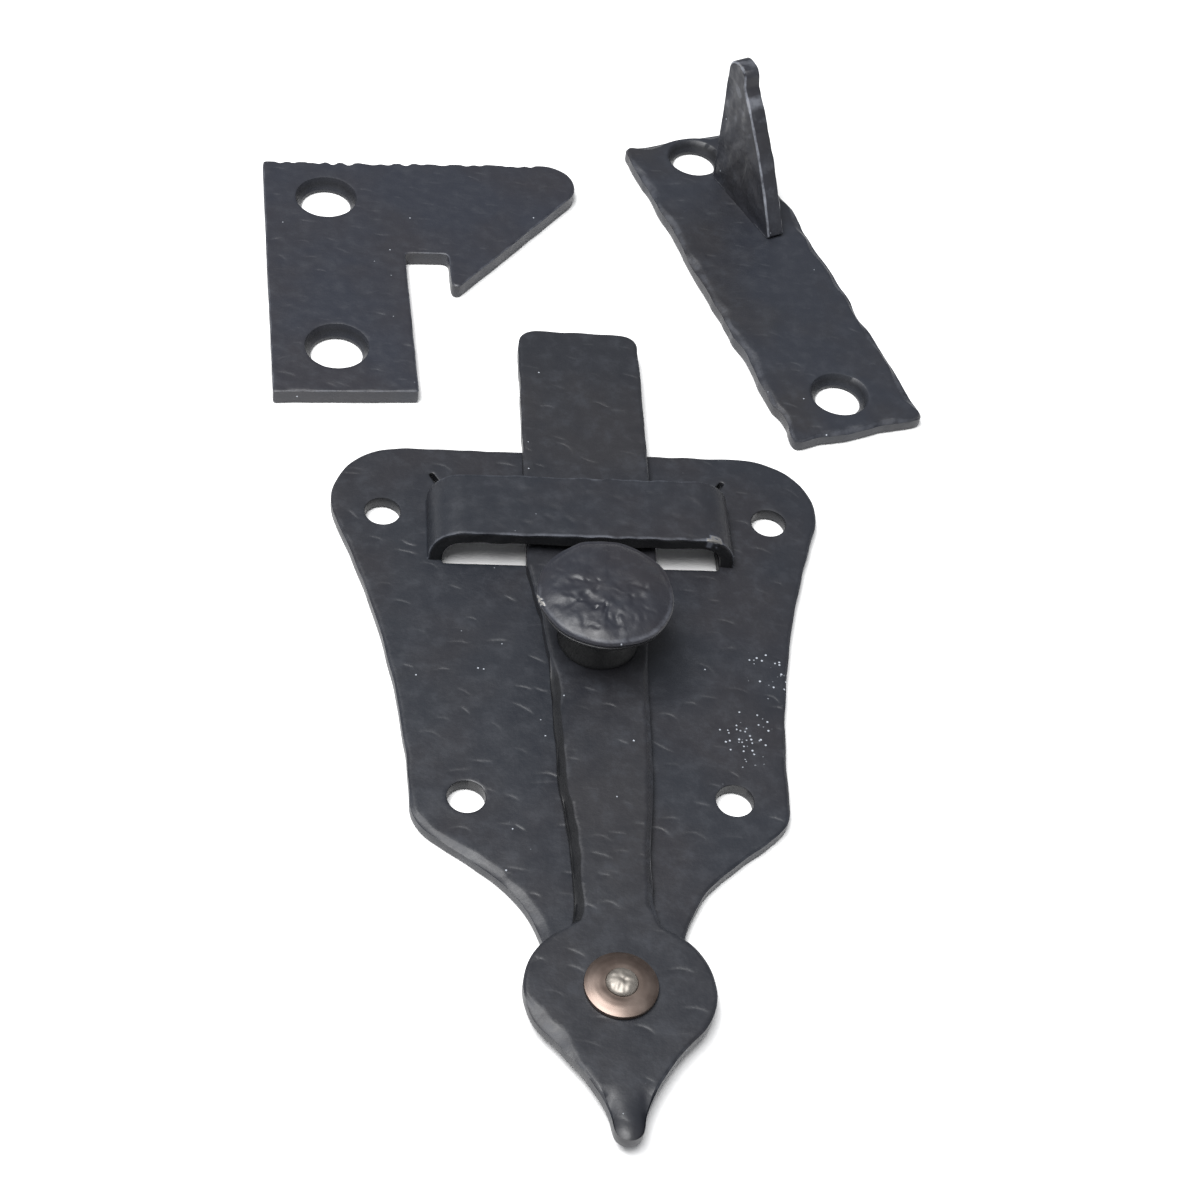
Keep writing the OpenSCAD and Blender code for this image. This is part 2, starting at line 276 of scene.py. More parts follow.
def sheet(loops, edges, top, bottom, step=fine, back_step=coarse, extra=None):
    """A closed plate: rims carried round each loop, and a face at the top and at the bottom.

    Each rim is rows of (inset, height, tone) from the bottom face to the top one, where tone lightens
    the coat for rubbing and painted highlights, or darkens it as painted shade. top and bottom give
    the faces' heights at any (x, y), and the rims' first and last rows take theirs from them.
    The rows just below the top one follow most of the way where the top face has sunk.
    """
    follow = 0.7
    verts, faces, wear_and_painted_light, count = [], [], [], 0
    firsts, lasts, first_at, last_at = [], [], [], []
    for loop, rows in zip(loops, edges):
        normal, n = outward(loop), len(loop)
        widest = np.max([np.broadcast_to(row[0], n) for row in rows], axis=0)
        normal = normal * room_to_turn(loop, widest)[:, None]
        for j, (inset, height, rub_and_highlight) in enumerate(rows):
            p = loop - normal * np.broadcast_to(inset, n)[:, None]
            z = np.broadcast_to(height, n)
            if j == 0:
                z = bottom(p)
                firsts.append(p)
                first_at.append(count + np.arange(n))
            if j == len(rows) - 1:
                z = top(p)
                lasts.append(p)
                last_at.append(count + j * n + np.arange(n))
            elif j > len(rows) // 2:
                z = z - follow * (np.max(top(p)) - top(p))
            verts.append(np.column_stack([p, z]))
            wear_and_painted_light.append(np.broadcast_to(rub_and_highlight, n))
        i = np.arange(n)
        for j in range(len(rows) - 1):
            a, b = count + j * n + i, count + j * n + np.roll(i, -1)
            faces.append(np.stack([a, b, b + n, a + n], 1))
        count += n * len(rows)
    quads = np.concatenate(faces)
    tris = []
    for rings, at, height, gap, more, up in (
        (lasts, last_at, top, step, extra, 1),
        (firsts, first_at, bottom, back_step, None, -1),
    ):
        flat, tri = filled(rings, gap, more)
        known = np.concatenate(at)
        inner = flat[len(known):]
        index = np.concatenate([known, count + np.arange(len(inner))])
        verts.append(np.column_stack([inner, height(inner)]))
        wear_and_painted_light.append(np.zeros(len(inner)))
        tris.append(index[tri][:, ::up])
        count += len(inner)
    return np.concatenate(verts), [quads, np.concatenate(tris)], np.concatenate(wear_and_painted_light)


def joined(*parts):
    """Several closed shapes as one mesh: their points in turn, with each face's numbers moved on."""
    verts, faces, wear_and_painted_light, count = [], [], [], 0
    for v, f, w in parts:
        verts.append(v)
        wear_and_painted_light.append(w)
        faces += [g + count for g in f]
        count += len(v)
    return np.concatenate(verts), faces, np.concatenate(wear_and_painted_light)


def placed(verts, spot, turn):
    """Points turned by so many degrees about Z and moved to a spot, in mm."""
    a = math.radians(turn)
    x, y, z = verts.T
    spot = np.append(np.asarray(spot, float), 0)[:3]
    return np.stack([x * math.cos(a) - y * math.sin(a), x * math.sin(a) + y * math.cos(a), z], 1) + spot


def made(name, verts, faces, wear_and_painted_light, finish, body, node, dusty=None):
    """A smooth-shaded mesh object from points in mm, which stands for a node of the frame."""
    mesh = bpy.data.meshes.new(name)
    mesh.from_pydata((verts * MM).tolist(), [], [f for group in faces for f in group.tolist()])
    mesh.attributes.new("wear_and_painted_light", "FLOAT", "POINT").data.foreach_set("value", wear_and_painted_light.astype(np.float32))
    dusty = np.zeros(len(verts)) if dusty is None else dusty
    mesh.attributes.new("dusty", "FLOAT", "POINT").data.foreach_set("value", dusty.astype(np.float32))
    mesh.shade_smooth()
    mesh.set_sharp_from_angle(angle=math.radians(38))
    mesh.materials.append(finish)
    piece = bpy.data.objects.new(name, mesh)
    bpy.context.collection.objects.link(piece)
    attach(piece, body)
    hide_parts(node)
    return piece


def linear(code):
    """An sRGB hex colour as linear red, green, blue and an alpha of 1."""
    c = np.array([int(code[i:i + 2], 16) for i in (1, 3, 5)]) / 255
    c = np.where(c <= 0.04045, c / 12.92, ((c + 0.055) / 1.055) ** 2.4)
    return (*c.tolist(), 1.0)


def add(finish, kind, settings=None, **links):
    """A node of the finish with its settings, by attribute or input name, and what feeds its inputs."""
    node = finish.node_tree.nodes.new("ShaderNode" + kind)
    for key, value in (settings or {}).items():
        if isinstance(key, str) and hasattr(node, key):
            setattr(node, key, value)
        else:
            node.inputs[key].default_value = value
    for key, source in links.items():
        socket = node.inputs[int(key[1:])] if key[0] == "i" and key[1:].isdigit() else node.inputs[key]
        finish.node_tree.links.new(source, socket)
    return node


def per_mm(size):
    """The scale that makes a pattern's cells the given size in mm, on coordinates in metres."""
    return 1000 / size


def mixed(finish, share, low, high):
    """A colour between two hex colours, or other nodes' colours, by a share from another node."""
    node = add(finish, "Mix", {"data_type": "RGBA"})
    for socket, value in ((6, low), (7, high)):
        if isinstance(value, str):
            node.inputs[socket].default_value = linear(value)
        else:
            finish.node_tree.links.new(value, node.inputs[socket])
    finish.node_tree.links.new(share, node.inputs[0])
    return node.outputs[2]


def stretched(finish, source, low, high):
    """A value between low and high brought to 0 and 1, and held there outside them."""
    return add(finish, "MapRange", {1: low, 2: high}, i0=source).outputs[0]


def new_finish(name):
    """An empty node material with its output, its shader, and the piece's own coordinates."""
    finish = bpy.data.materials.new(name)
    finish.use_nodes = True
    finish.node_tree.nodes.clear()
    shader = add(finish, "BsdfPrincipled")
    out = add(finish, "OutputMaterial")
    finish.node_tree.links.new(shader.outputs[0], out.inputs[0])
    return finish, shader, add(finish, "TexCoord").outputs["Object"]


def coated_iron(name, cool="#1d2027", warm="#202025", rub_and_highlight="#575a62", relief=1.0, specks=1.0):
    """Satin black coating on hammered steel.

    The coat drifts between a cool and a warm black, carries a fine orange peel and pale pinpricks
    where dust was caught in it, and is lighter along the edges, partly where it is rubbed and partly as
    a painted highlight. The attribute read below carries painted light as well as rubbing: above 0 it
    lightens the coat, for rubbed edges and painted highlights, below 0 it paints shade near black, and
    above 1.3 the coat has chipped down to bare steel.
    """
    finish, shader, here = new_finish(name)
    links = finish.node_tree.links
    drift = add(finish, "TexNoise", {"Scale": per_mm(14), "Detail": 3.0}, Vector=here).outputs[0]
    fine_grain = {"Scale": per_mm(2.2), "Detail": 5.0, "Roughness": 0.65}
    cloud = add(finish, "TexNoise", fine_grain, Vector=here).outputs[0]
    peel = add(finish, "TexNoise", {"Scale": per_mm(0.55), "Detail": 3.0}, Vector=here).outputs[0]
    tint = mixed(finish, stretched(finish, drift, 0.42, 0.62), cool, warm)
    tint = mixed(finish, stretched(finish, cloud, 0.5, 0.95), tint, "#2c2f36")
    cells = add(finish, "TexVoronoi", {"Scale": per_mm(2.6)}, Vector=here)
    near = stretched(finish, cells.outputs["Distance"], 0.055, 0.03)
    pick = add(finish, "SeparateColor", i0=cells.outputs["Color"]).outputs[0]
    few = stretched(finish, pick, 1 - 0.62 * specks, 1 - 0.56 * specks)
    dust = add(finish, "Math", {"operation": "MULTIPLY"}, i0=near, i1=few).outputs[0]
    spatter = add(finish, "TexVoronoi", {"Scale": per_mm(0.55)}, Vector=here)
    close = stretched(finish, spatter.outputs["Distance"], 0.3, 0.16)
    draw = add(finish, "SeparateColor", i0=spatter.outputs["Color"]).outputs[0]
    dusty = add(finish, "Attribute", {"attribute_name": "dusty"}).outputs["Fac"]
    chance = add(finish, "Math", {"operation": "ADD"}, i0=draw, i1=dusty).outputs[0]
    caught = stretched(finish, chance, 1.16, 1.2)
    cluster = add(finish, "Math", {"operation": "MULTIPLY"}, i0=close, i1=caught).outputs[0]
    dust = add(finish, "Math", {"operation": "MAXIMUM"}, i0=dust, i1=cluster).outputs[0]
    worn_and_painted_light = add(finish, "Attribute", {"attribute_name": "wear_and_painted_light"}).outputs["Fac"]
    broken_up = stretched(finish, cloud, 0.25, 0.6)
    patch = add(finish, "Math", {"operation": "MULTIPLY"}, i0=worn_and_painted_light, i1=broken_up).outputs[0]
    # The edges lighten toward the rub colour: partly rubbed coat, partly a painted highlight where they catch
    # the light.
    tint = mixed(finish, stretched(finish, patch, 0.15, 1.0), tint, rub_and_highlight)
    # Below 0 the coat is painted near black, as painted shade in holes, under the knob and on faces turned
    # from the light.
    tint = mixed(finish, stretched(finish, worn_and_painted_light, -0.1, -1.0), tint, "#0b0c0e")
    bare = stretched(finish, worn_and_painted_light, 1.3, 1.7)
    tint = mixed(finish, bare, tint, "#a8a6a3")
    tint = mixed(finish, dust, tint, "#a9aeb6")
    links.new(tint, shader.inputs["Base Color"])
    gloss = add(finish, "MapRange", {1: 0.3, 2: 0.7, 3: 0.40, 4: 0.55}, i0=cloud).outputs[0]
    links.new(gloss, shader.inputs["Roughness"])
    links.new(bare, shader.inputs["Metallic"])
    shader.inputs["IOR"].default_value = 1.5
    grain = add(finish, "Bump", {"Strength": 0.2 * relief, "Distance": 0.00005}, Height=peel)
    rough = {"Strength": 0.4 * relief, "Distance": 0.00011}
    dents = add(finish, "Bump", rough, Height=cloud, Normal=grain.outputs[0])
    links.new(dents.outputs[0], shader.inputs["Normal"])
    return finish


plate_marks = struck((-32, -78), (32, 11), 4.6, 11, 0.08, 1.2)


def shield_face(p):
    """Height of the plate's front: hammered crescents and a slow swell, never above its thickness."""
    return plate_t - hammer_marks(p, plate_marks) - 0.035 * (1.2 + swell(p, 9, 13))


def near_line(p, start, end, reach):
    """1 on the straight line from start to end, falling to 0 at the given reach from it."""
    start, end = np.array(start, float), np.array(end, float)
    way = end - start
    t = np.clip(((p - start) @ way) / (way @ way), 0, 1)
    d = np.linalg.norm(p - start - t[:, None] * way, axis=1)
    return np.clip(1 - d / reach, 0, 1)


def forged_edge(loop, t, bevel, drop, rub_and_highlight, seed, wave=0.06, under=0.2, pace=6):
    """Rows of (inset, height, tone) of a hammered rim, from the back face to the front one. The tone
    lightens the bevel, partly for rubbing and partly as a painted highlight.

    bevel and drop give the width and depth of the flat that the hammer left along the front, wave
    how far the rim wanders in, under the chamfer at its back, and pace the length of its waves.
    """
    n = len(loop)
    bevel, drop = np.broadcast_to(bevel, n), np.broadcast_to(drop, n)
    wavy = wave * np.clip(0.9 + swell(loop, pace, seed), 0, 2)
    uneven = 1 + 0.12 * swell(loop, 0.7 * pace, seed + 1)
    bevel, drop = bevel * uneven, drop * uneven
    rows = [(under, 0, 0), (under * 0.3, under * 0.3, 0), (0, under, 0), (0, t * 0.55, 0)]
    rows += [(0, t - drop - 0.06, 0.15), (0.12 * bevel, t - drop, 0.8), (0.5 * bevel, t - 0.52 * drop, 1)]
    rows += [(0.85 * bevel, t - 0.12 * drop, 0.6), (bevel, t, 0.05)]
    return [(wavy + inset, height, np.broadcast_to(shade, n) * rub_and_highlight) for inset, height, shade in rows]


def bore_edge(t, r=0.12):
    """Rows of a drilled hole's wall with its two edges broken; the wall is painted darker as shade."""
    return [(r, 0, 0), (0, r, -0.4), (0, t - r, -0.7), (r * 0.4, t - r * 0.3, -0.3), (r * 1.6, t, 0)]


def strap_band():
    """The raised strap: a rounded band section carried along a path with two bends and two feet.

    The path runs along X and Z. At each of its points the section lies along Y and the path's normal.
    Its feet end inside the plate. Its front lower edge is lighter, partly rubbed and partly a painted
    highlight, with a chip at the right, and its front face is painted dark as painted shade.
    """
    mid, top = plate_t / 2, box_of("backplate")[1, 2] - plate_t / 2
    leg, foot_r, bend_r = strap_half + plate_t / 2, 1.4, 3.5
    half = np.concatenate([
        [[0, top]],
        np.stack([np.linspace(0.4, leg - bend_r - 0.3, 44), np.full(44, top)], 1),
        arc(leg - bend_r, top - bend_r, bend_r, 90, 0, 14),
        arc(leg + foot_r, mid + foot_r, foot_r, 180, 270, 9),
        [[leg + foot_r + 0.5, mid]],
    ])
    path = np.concatenate([half[:0:-1] * [-1, 1], half])
    tangent = np.gradient(path, axis=0)
    tangent /= np.linalg.norm(tangent, axis=1, keepdims=True)
    normal = np.stack([-tangent[:, 1], tangent[:, 0]], 1)
    low, up, thick = strap_low, strap_up, plate_t
    section = walked([[low, -thick / 2], [up, -thick / 2], [up, thick / 2], [low, thick / 2]], 0.3, 0.16)
    n, m = len(path), len(section)
    thin = np.clip((plate_t * 1.6 - path[:, 1]) / plate_t, 0, 1) * 0.1
    y = np.broadcast_to(section[:, 0], (n, m))
    off = section[:, 1] * (1 - thin[:, None])
    x = path[:, :1] + normal[:, :1] * off
    z = path[:, 1:] + normal[:, 1:] * off
    flat = np.stack([x.ravel(), y.ravel()], 1)
    sunk = hammer_marks(flat, struck((-18, -8), (18, 2), 3.2, 21, 0.12, 0.9))
    sunk = (sunk + 0.02 * (1.2 + swell(flat, 7, 23))).reshape(n, m)
    upward = np.clip(normal[:, 1:] * section[:, 1] / (thick / 2), 0, 1)
    z = z - sunk * upward
    wobble = 0.09 * np.clip(1 + swell(np.stack([x.ravel(), z.ravel()], 1), 4, 24), 0, 2).reshape(n, m)
    y = y + wobble * np.clip((low + 1 - y), 0, 1) - wobble * np.clip(y - up + 1, 0, 1)
    verts = np.stack([x.ravel(), y.ravel(), z.ravel()], 1)
    i, j = np.meshgrid(np.arange(n - 1), np.arange(m), indexing="ij")
    a, b = i * m + j, i * m + (j + 1) % m
    quads = np.stack([a, a + m, b + m, b], -1).reshape(-1, 4)
    caps = []
    for row, way in ((0, 1), (n - 1, -1)):
        ring = row * m + np.arange(m)
        hub = np.full(m, len(verts))
        verts = np.concatenate([verts, verts[ring].mean(0)[None]])
        caps.append(np.stack([hub, ring, np.roll(ring, -1)], 1)[:, ::way])
    edge_up = section[:, 1] > thick / 2 - 0.12
    # Along the front top edge, and less along the back one, the coat is lighter: partly rubbed, partly a
    # painted highlight.
    front_rub_and_highlight = np.clip(1 - np.abs(section[:, 0] - low - 0.15) / 0.4, 0, 1) * edge_up
    back = np.clip(1 - np.abs(section[:, 0] - up + 0.1) / 0.4, 0, 1) * edge_up * 0.6
    # The front face is painted dark, as painted shade.
    shade = -0.9 * (np.abs(section[:, 0] - low) < 0.12) * (section[:, 1] < thick / 2 - 0.12)
    wear_and_painted_light = np.broadcast_to(front_rub_and_highlight + back + shade, (n, m)).ravel()
    wear_and_painted_light = np.concatenate([wear_and_painted_light, [0, 0]])
    chip = near_line(verts[:, :2], (15.6, -8.3), (17.4, -7.6), 0.6) * (verts[:, 2] > 5.6)
    chip = np.maximum(chip, near_line(verts[:, :2], (16.2, -8.2), (16.3, -7.2), 0.4) * (verts[:, 2] > 6))
    wear_and_painted_light = wear_and_painted_light + 2.2 * (chip + 0.45 * swell(verts, 0.8, 25) > 0.45) * (chip > 0.1)
    return verts, [quads, np.concatenate(caps)], wear_and_painted_light


# The rim is beaten wider at the lower left, and the shear ran on past the slot's upper corners.
outline = walked(shield())
bevel = 0.32 + 0.9 * near_line(outline, (-12.6, -57.5), (-8.9, -63.0), 5.5)
bevel = bevel + 0.7 * near_line(outline, (-21.5, -49), (-15, -55), 4)
right_nick = [[18.9, 4.9], [20.3, 6.9], [19.8, 7.3], [18.2, 5.4], [17.3, slot_up]]
left_nick = [[-17.3, slot_up], [-17.6, 5.0], [-18.8, 7.3], [-19.4, 6.9], [-18.3, 4.7]]
slot_loop = walked([
    [-strap_half, slot_up], [-strap_half, slot_low], [strap_half, slot_low], [strap_half, slot_up],
    *right_nick, *left_nick,
], 0.3, 0.2, hole=True)
screw_x = [mounts[name]["dims"]["spacing_x_mm"] / 2 for name in ("upper_screws", "lower_screws")]
screw_y = [mounts[name]["pos_m"][1] / MM for name in ("upper_screws", "lower_screws")]
loops = [outline, slot_loop]
edges = [
    forged_edge(outline, plate_t, bevel, 0.12 + 0.2 * bevel, 0.2, 31),
    # The slot's wall is painted darker, as painted shade, like a hole's.
    [(0.1, 0, 0), (0, 0.1, -0.5), (0, plate_t - 0.15, -0.8), (0.06, plate_t - 0.05, -0.4), (0.2, plate_t, 0)],
]
for x, y in zip(screw_x, screw_y):
    for side in (-1, 1):
        loops.append(walked(arc(side * x, y, screw_r, 0, 355, 72), 0.25, 0.1, hole=True))
        edges.append(bore_edge(plate_t, 0.16))
loops.append(walked(arc(0, pivot_y, rivet_hole_r, 0, 355, 72), 0.25, 0.05, hole=True))
edges.append([(1.5, 0, 0), (0.75, 0.54, 0), (0, 1.08, 0), (0, plate_t - 0.1, 0), (-0.05, plate_t, 0)])
plate_skin = sheet(loops, edges, shield_face, flat_back, extra=lips(plate_marks))
plate_coat = coated_iron("Satin_black_coat_on_hammered_sheet")
verts, faces, wear_and_painted_light = joined(plate_skin, strap_band())
dust_at = np.array([[23.0, -27.0], [22.0, -24.0], [18.4, -37.2], [18.6, -34.0], [15.0, 5.5]])
dust_reach = np.array([3.2, 2.4, 3.6, 2.6, 1.8])
dust_share = np.array([1.2, 0.9, 1.0, 0.8, 0.8])
dusty = 0.62 * np.clip(hollows(verts, dust_at, dust_reach, dust_share), 0, 1)
made("shield_plate", verts, faces, wear_and_painted_light, plate_coat, "plate", "backplate", dusty)


# ---- Latch bar ----------------------------------------------------------------------------
# One flat bar of 1.8 mm steel: a square head, a long shank, and a forged finial round the pivot.
# Its face is hammered, and the finial's lower left side was struck into a broad bevel.

bar_t = bar_high[2] - bar_low[2]
bar_turn = -1
bar_reach = 106
head_w = 16.8
head_r = 2.4
shoulder_y = 62
shoulder_run = 14
shank_w = 12.4
tail_w = 9
tail_y = 12
finial_r = 8.4
finial_w = 21.8
finial_reach = 18.8
tip_r = 1.8
knob_y = 50.2
tenon_r = 2.5


def bar_shape():
    """The bar's outline about its pivot: head, shoulders, shank, round finial and pointed tip."""
    half = head_w / 2
    tip_y = tip_r - finial_reach
    round_x = finial_w / 2 - finial_r
    point = [round_x + finial_r * math.cos(math.radians(50)), -finial_r * math.sin(math.radians(50))]
    t = np.linspace(0, 1, 24)[1:]
    across = tip_r + (point[0] - tip_r) * (1 - t) ** 1.55
    hollow = np.stack([across, point[1] + (tip_y - point[1]) * t], 1)
    return both_sides(np.concatenate([
        [[0, bar_reach]],
        arc(half - head_r, bar_reach - head_r, head_r, 90, 0),
        [[half, shoulder_y], [shank_w / 2 + 0.7, shoulder_y - 8], [shank_w / 2, shoulder_y - shoulder_run]],
        [[shank_w / 2 - 0.5, knob_y - 22], [tail_w / 2 + 0.3, tail_y + 8], [tail_w / 2, tail_y]],
        arc(round_x, 0, finial_r, 72, -50),
        hollow,
        arc(0, tip_y, tip_r, -20, -90),
    ]))


bar_marks = struck((-11, -18), (11, 106), 4.0, 41, 0.068, 1.1)


def bar_face(p):
    """Height of the bar's front above its back: crescents, a slow swell and a domed finial tip."""
    off = np.hypot(p[:, 0], np.minimum(p[:, 1] + finial_reach - tip_r, 0))
    dome = 0.62 * np.clip(off / tip_r, 0, 1.05) ** 2.2 * np.clip((-p[:, 1] - 12.2) / 3.4, 0, 1)
    return bar_t - hammer_marks(p, bar_marks) - 0.03 * (1.2 + swell(p, 8, 43)) - dome


outline = walked(bar_shape(), soft=0.5)
bevel = 0.3 + 1.4 * near_line(outline, (-10.0, -4.0), (-7.6, -7.4), 3.2)
bevel = bevel + 0.15 * near_line(outline, (-6.2, -9.5), (-2.4, -15), 2)
bevel = bevel * (1 - 0.7 * near_line(outline, (0, -18.8), (0, -15), 3.4) ** 0.5)
drop = 0.1 + 0.24 * bevel

# Between the finial and the knob the left rim is bevelled deeper and its wall painted dark, as
# painted shade beside the bar, and the right rim is eased off.
low_end, high_end = 8.2, 47
right_of, up_from = outline.T
below_knob = np.clip((high_end - up_from) / 3, 0, 1)
left_rim_painted_shade = (right_of < 0) * np.clip((up_from - low_end) / 0.7, 0, 1) * below_knob
eased = (right_of > 0) * np.clip((up_from - low_end) / 3, 0, 1) * below_knob
bevel = bevel * (1 - left_rim_painted_shade) + 1.05 * left_rim_painted_shade * np.clip(1 + 0.15 * swell(outline, 12, 52), 0.7, 1.3)
bevel = bevel + 0.45 * eased
drop = drop + 0.7 * left_rim_painted_shade + 0.4 * eased
rows = forged_edge(outline, bar_t, bevel, drop, 0.25, 51, 0.06, 0.12)
# The left rim's wall rows are painted dark there, as painted shade.
edges = [[
    (inset, height, rub_and_highlight * (1 - left_rim_painted_shade) - 0.8 * left_rim_painted_shade * (0.3 < rank < 0.95))
    for rank, (inset, height, rub_and_highlight) in zip(np.linspace(0, 1, len(rows)), rows)
]]
loops = [outline]
for y, r in ((0, rivet_hole_r), (knob_y, tenon_r + 0.05)):
    loops.append(walked(arc(0, y, r, 0, 355, 72), 0.25, 0.05, hole=True))
    edges.append(bore_edge(bar_t, 0.06))
verts, faces, wear_and_painted_light = sheet(loops, edges, bar_face, flat_back, extra=lips(bar_marks))
verts = placed(verts + [0, 0, bar_low[2]], (0, pivot_y), bar_turn)
bar_coat = coated_iron("Satin_black_coat_on_forged_bar", cool="#1d1f25", warm="#222226")
made("swing_bar", verts, faces, wear_and_painted_light, bar_coat, "bar", "latch_bar")


# ---- Knob ---------------------------------------------------------------------------------
# A stud with a wide domed face and a waisted stem, forged in one and riveted through the bar by
# its tenon. The face was struck all over with a ball pein, and its rim is not quite round.

knob_low, knob_high = box_of("knob")
knob_mid = (knob_low + knob_high)[:2] / 2
knob_r = 8.6
knob_h = knob_high[2] - bar_high[2]
stem_r = 3.7
foot_r = 5.1


def turned(rows, n=200):
    """A closed turned shape: each row (radius, height) is a ring, and a pole closes each end."""
    rows = np.asarray(rows, float)
    a = np.linspace(0, 2 * np.pi, n, endpoint=False)
    inner = rows[1:-1]
    height = np.broadcast_to(inner[:, 1:], (len(inner), n))
    ring = np.stack([inner[:, :1] * np.cos(a), inner[:, :1] * np.sin(a), height], -1).reshape(-1, 3)
    verts = np.concatenate([ring, [[0, 0, rows[0, 1]], [0, 0, rows[-1, 1]]]])
    i, j = np.meshgrid(np.arange(len(inner) - 1), np.arange(n), indexing="ij")
    p, q = i * n + j, i * n + (j + 1) % n
    quads = np.stack([p, q, q + n, p + n], -1).reshape(-1, 4)
    j = np.arange(n)
    end = (len(inner) - 1) * n
    low = np.stack([np.full(n, len(ring)), np.roll(j, -1), j], 1)
    high = np.stack([np.full(n, len(ring) + 1), end + j, end + np.roll(j, -1)], 1)
    return verts, [quads, np.concatenate([low, high])]


# The crown is a flat dome that turns down faster near its rim, where the height falls as r ** 6.
rise = bar_t + knob_h
out = np.linspace(1, 0, 36)
face = np.stack([(knob_r - 0.4) * out, rise - 0.05 - 0.35 * out**2 - 0.75 * out**6], 1)
rows = np.concatenate([
    [[0, 0], [tenon_r - 0.1, 0], [tenon_r, 0.1], [tenon_r, bar_t]],
    [[foot_r - 0.15, bar_t], [foot_r, bar_t + 0.15]],
    [[foot_r - 0.15, bar_t + 0.7], [stem_r + 0.4, bar_t + 2], [stem_r, bar_t + 3.6]],
    [[stem_r + 0.1, bar_t + 4.4], [stem_r + 0.5, bar_t + 5.4], [stem_r + 1.9, bar_t + 6.2]],
    [[knob_r - 1.5, bar_t + 6.8], [knob_r - 0.7, bar_t + 7.1], [knob_r - 0.3, bar_t + 7.5]],
    [[knob_r - 0.08, bar_t + 8.0]],
    arc(knob_r - 0.5, rise - 1.45, 0.5, -60, 40, 7),
    face,
])
verts, faces = turned(rows)
flat = verts[:, :2]
r = np.hypot(*flat.T)
under = rise - verts[:, 2]
on_head = np.clip((4.2 - under) / 1.2, 0, 1)

# Seven deep dents and a scatter of shallow ones, with their outlines pushed out of round.
rng = np.random.default_rng(61)
main = np.array([[-3.2, -2.0], [-1.3, -2.1], [0.4, -5.0], [3.4, -1.3], [1.2, 0.5], [-0.8, -3.6], [4.8, 0.4]])
more = scattered((-8, -8), (8, 8), 1.6, 62)
size = np.concatenate([np.full(len(main), 0.62), rng.uniform(0.38, 0.85, len(more))])
shallow = rng.uniform(0.02, 0.13, len(more)) * (1.25 - 0.06 * more[:, 1])
deep = np.concatenate([np.full(len(main), 0.18), shallow])
pushed = flat + 0.45 * np.stack([swell(flat, 2.4, 65), swell(flat, 2.4, 66)], 1)
dents = hollows(pushed, np.concatenate([main, more]), size, deep) * np.clip((8.0 - r) / 1.2, 0, 1)
dents = dents + 0.06 * (1 + swell(flat, 3.4, 63))
verts[:, 2] -= dents * np.clip((1.6 - under) / 0.5, 0, 1) * (under < 1.7)

# The head is out of round by up to 0.3 mm: three sine waves of its angle a.
a = np.arctan2(flat[:, 1], flat[:, 0])
waver = 0.16 * (np.sin(3 * a + 1.0) + 0.7 * np.sin(5 * a + 2.2) + 0.5 * np.sin(9 * a)) / 2.2 + 0.18
verts[:, :2] *= (1 - on_head * waver / np.maximum(r, 1) * np.clip(r / 6, 0, 1))[:, None]
under = rise - verts[:, 2]
# A painted highlight runs round the head's rim, strongest along its front.
wear_and_painted_light = 0.8 * np.clip(1 - np.abs(r - 8.15) / 0.5, 0, 1) * (under < 1.8) * (0.5 + 0.5 * np.sin(-a))
chip = near_line(flat, (-8.5, -0.9), (-7.9, -2.5), 0.45) * (under < 2)
wear_and_painted_light = wear_and_painted_light + 2.0 * (chip + 0.3 * swell(verts, 0.8, 64) > 0.5) * (chip > 0.1)
# Below the head's rim the stem and the head's underside are painted near black, as painted shade.
wear_and_painted_light = wear_and_painted_light - 1.2 * np.clip((under - 1.5) / 0.8, 0, 1)
verts = placed(verts + [0, 0, bar_low[2]], knob_mid, bar_turn)
knob_coat = coated_iron("Satin_black_coat_on_a_forged_knob", cool="#1f2129", warm="#232227", relief=1.3)
made("pein_faced_knob", verts, faces, wear_and_painted_light, knob_coat, "bar", "knob")


# ---- Washer -------------------------------------------------------------------------------
# A dished washer pressed from thin steel, left bare. It keeps the bar on the plate without
# pinching it. Its turned face has faint rings and the brown cast of old oil.

washer_low, washer_high = box_of("dished_washer")
washer_r = 4.2
washer_t = 0.6
washer_dish = 0.4
washer_bore = 1.85


def ringed(rows, n=160):
    """A closed turned shape with a hole: the rows (radius, height) go round in a loop."""
    rows = np.asarray(rows, float)
    a = np.linspace(0, 2 * np.pi, n, endpoint=False)
    height = np.broadcast_to(rows[:, 1:], (len(rows), n))
    verts = np.stack([rows[:, :1] * np.cos(a), rows[:, :1] * np.sin(a), height], -1).reshape(-1, 3)
    i, j = np.meshgrid(np.arange(len(rows)), np.arange(n), indexing="ij")
    k = (i + 1) % len(rows)
    q = (j + 1) % n
    quads = np.stack([i * n + j, i * n + q, k * n + q, k * n + j], -1).reshape(-1, 4)
    return verts, [quads]


t = np.linspace(0, 1, 14)
across = washer_r - 0.12 - (washer_r - 0.12 - washer_bore) * t
crown = np.stack([across, washer_t + washer_dish * (1 - (1 - t) ** 2.4)], 1)
rows = np.concatenate([
    [[washer_bore, washer_dish], [3.0, washer_dish * 0.5], [washer_r - 0.1, 0.0], [washer_r, 0.1]],
    [[washer_r, washer_t - 0.12], [washer_r - 0.04, washer_t - 0.04]],
    crown,
])
verts, faces = ringed(rows)
verts[:, 2] -= 0.008 * (1 + swell(verts, 3, 71)) * (verts[:, 2] > washer_t - 0.02)
verts = placed(verts + [0, 0, washer_low[2]], (0, pivot_y), 0)


